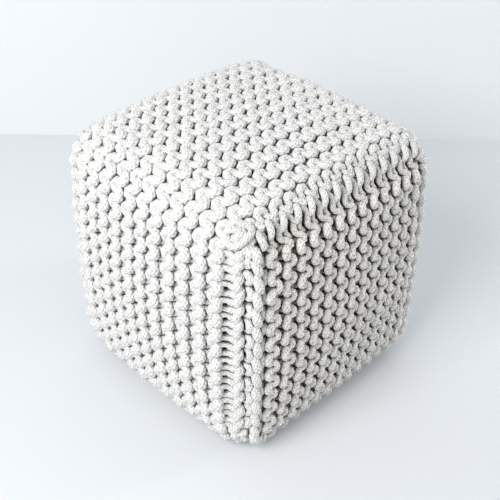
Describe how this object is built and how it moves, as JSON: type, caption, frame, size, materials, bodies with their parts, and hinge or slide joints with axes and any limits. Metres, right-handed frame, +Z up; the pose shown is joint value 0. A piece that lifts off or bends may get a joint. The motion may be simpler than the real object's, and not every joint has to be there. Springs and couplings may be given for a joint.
{
  "type": "knitted pouf",
  "caption": "Cube-shaped floor pouf in chunky off-white garter-stitch knitting, with crowned faces, rounded edges and chained seams round both ends.",
  "frame": {"origin": "on the floor, under the middle of the pouf", "axes": "+Z up; the front end panel faces -Y, the back one +Y, and the band's sides face -X and +X"},
  "size_m": [0.3984, 0.3968, 0.392],
  "materials": {
    "band_cord": "matt cotton cord",
    "panel_cord": "matt cotton cord",
    "seam_cord": "matt cotton cord"
  },
  "bodies": {
    "root": {"knitted_band": "band_cord", "end_panel_front": "panel_cord", "end_panel_back": "panel_cord", "seam_front": "seam_cord", "seam_back": "seam_cord"}
  },
  "joints": []
}
